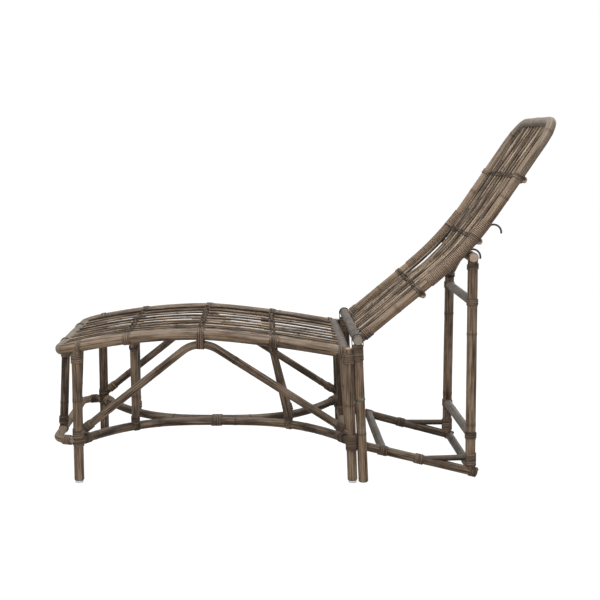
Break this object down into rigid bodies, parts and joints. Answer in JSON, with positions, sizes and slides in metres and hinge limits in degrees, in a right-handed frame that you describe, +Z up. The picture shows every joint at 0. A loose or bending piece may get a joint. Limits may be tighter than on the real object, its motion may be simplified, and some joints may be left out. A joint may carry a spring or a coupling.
{
  "type": "folding rattan sun lounger",
  "caption": "Folding rattan sun lounger with a bowed slatted seat on arched braces and a hinged slatted backrest propped by a folding stand caught in wire hooks.",
  "frame": {"origin": "on the floor, under the middle of the whole length and width", "axes": "+X runs from the foot end to the head end, +Y across, +Z up"},
  "size_m": [1.5188, 0.5752, 1.1008],
  "materials": {
    "rattan": "weathered brown cane, matte",
    "grey_rattan": "weathered grey cane, matte",
    "black_wire": "black, satin",
    "steel_wire": "dull steel",
    "white_plastic": "white, matte"
  },
  "bodies": {
    "bench": {"seat_frame": "rattan", "seat_rear_rail": "grey_rattan", "seat_slat_deck": "rattan", "foot_stretcher": "rattan", "head_stretcher": "rattan", "leg_foot_near": "rattan", "leg_foot_far": "rattan", "leg_head_near": "rattan", "leg_head_far": "rattan", "glide_foot_near": "white_plastic", "glide_foot_far": "white_plastic", "glide_head_near": "white_plastic", "glide_head_far": "white_plastic", "arch_brace_near": "rattan", "arch_brace_far": "rattan", "side_stretcher_near": "rattan", "side_stretcher_far": "rattan", "foot_post_near": "rattan", "foot_post_far": "rattan", "head_post_near": "rattan", "head_post_far": "rattan", "side_post_foot_near": "rattan", "side_post_foot_far": "rattan", "side_post_head_near": "rattan", "side_post_head_far": "rattan", "back_post_near": "rattan", "back_post_far": "rattan", "stand_pin_near": "steel_wire", "stand_pin_far": "steel_wire", "hinge_staple_near": "steel_wire", "hinge_staple_far": "steel_wire"},
    "backrest": {"hinge_rail": "grey_rattan", "back_frame": "rattan", "back_slat_panel": "rattan", "hook_lower_near": "black_wire", "hook_lower_far": "black_wire", "hook_upper_near": "black_wire", "hook_upper_far": "black_wire", "hook_wrap_near": "rattan", "hook_wrap_far": "rattan"},
    "stand": {"stand_top_pole": "rattan", "stand_lower_rung": "grey_rattan", "stand_upper_rung": "grey_rattan", "stand_front_bar": "grey_rattan", "stand_rear_bar": "grey_rattan", "stand_diagonal": "rattan", "stand_rail_near": "rattan", "stand_rail_far": "rattan", "stand_post_near": "rattan", "stand_post_far": "rattan", "stand_brace_near": "rattan", "stand_brace_far": "rattan"}
  },
  "joints": [
    {"name": "back_fold", "type": "hinge", "parent": "bench", "child": "backrest", "pos_m": [0.16215, 0, 0.43998], "axis": [0, -1, 0], "range_deg": [0, 126]},
    {"name": "stand_fold", "type": "hinge", "parent": "bench", "child": "stand", "pos_m": [0.18042, 0, 0.105], "axis": [0, -1, 0], "range_deg": [0, 61]}
  ],
  "couplings": [
    {"joint": "stand_fold", "follows": "back_fold", "ratio": 0.48}
  ]
}
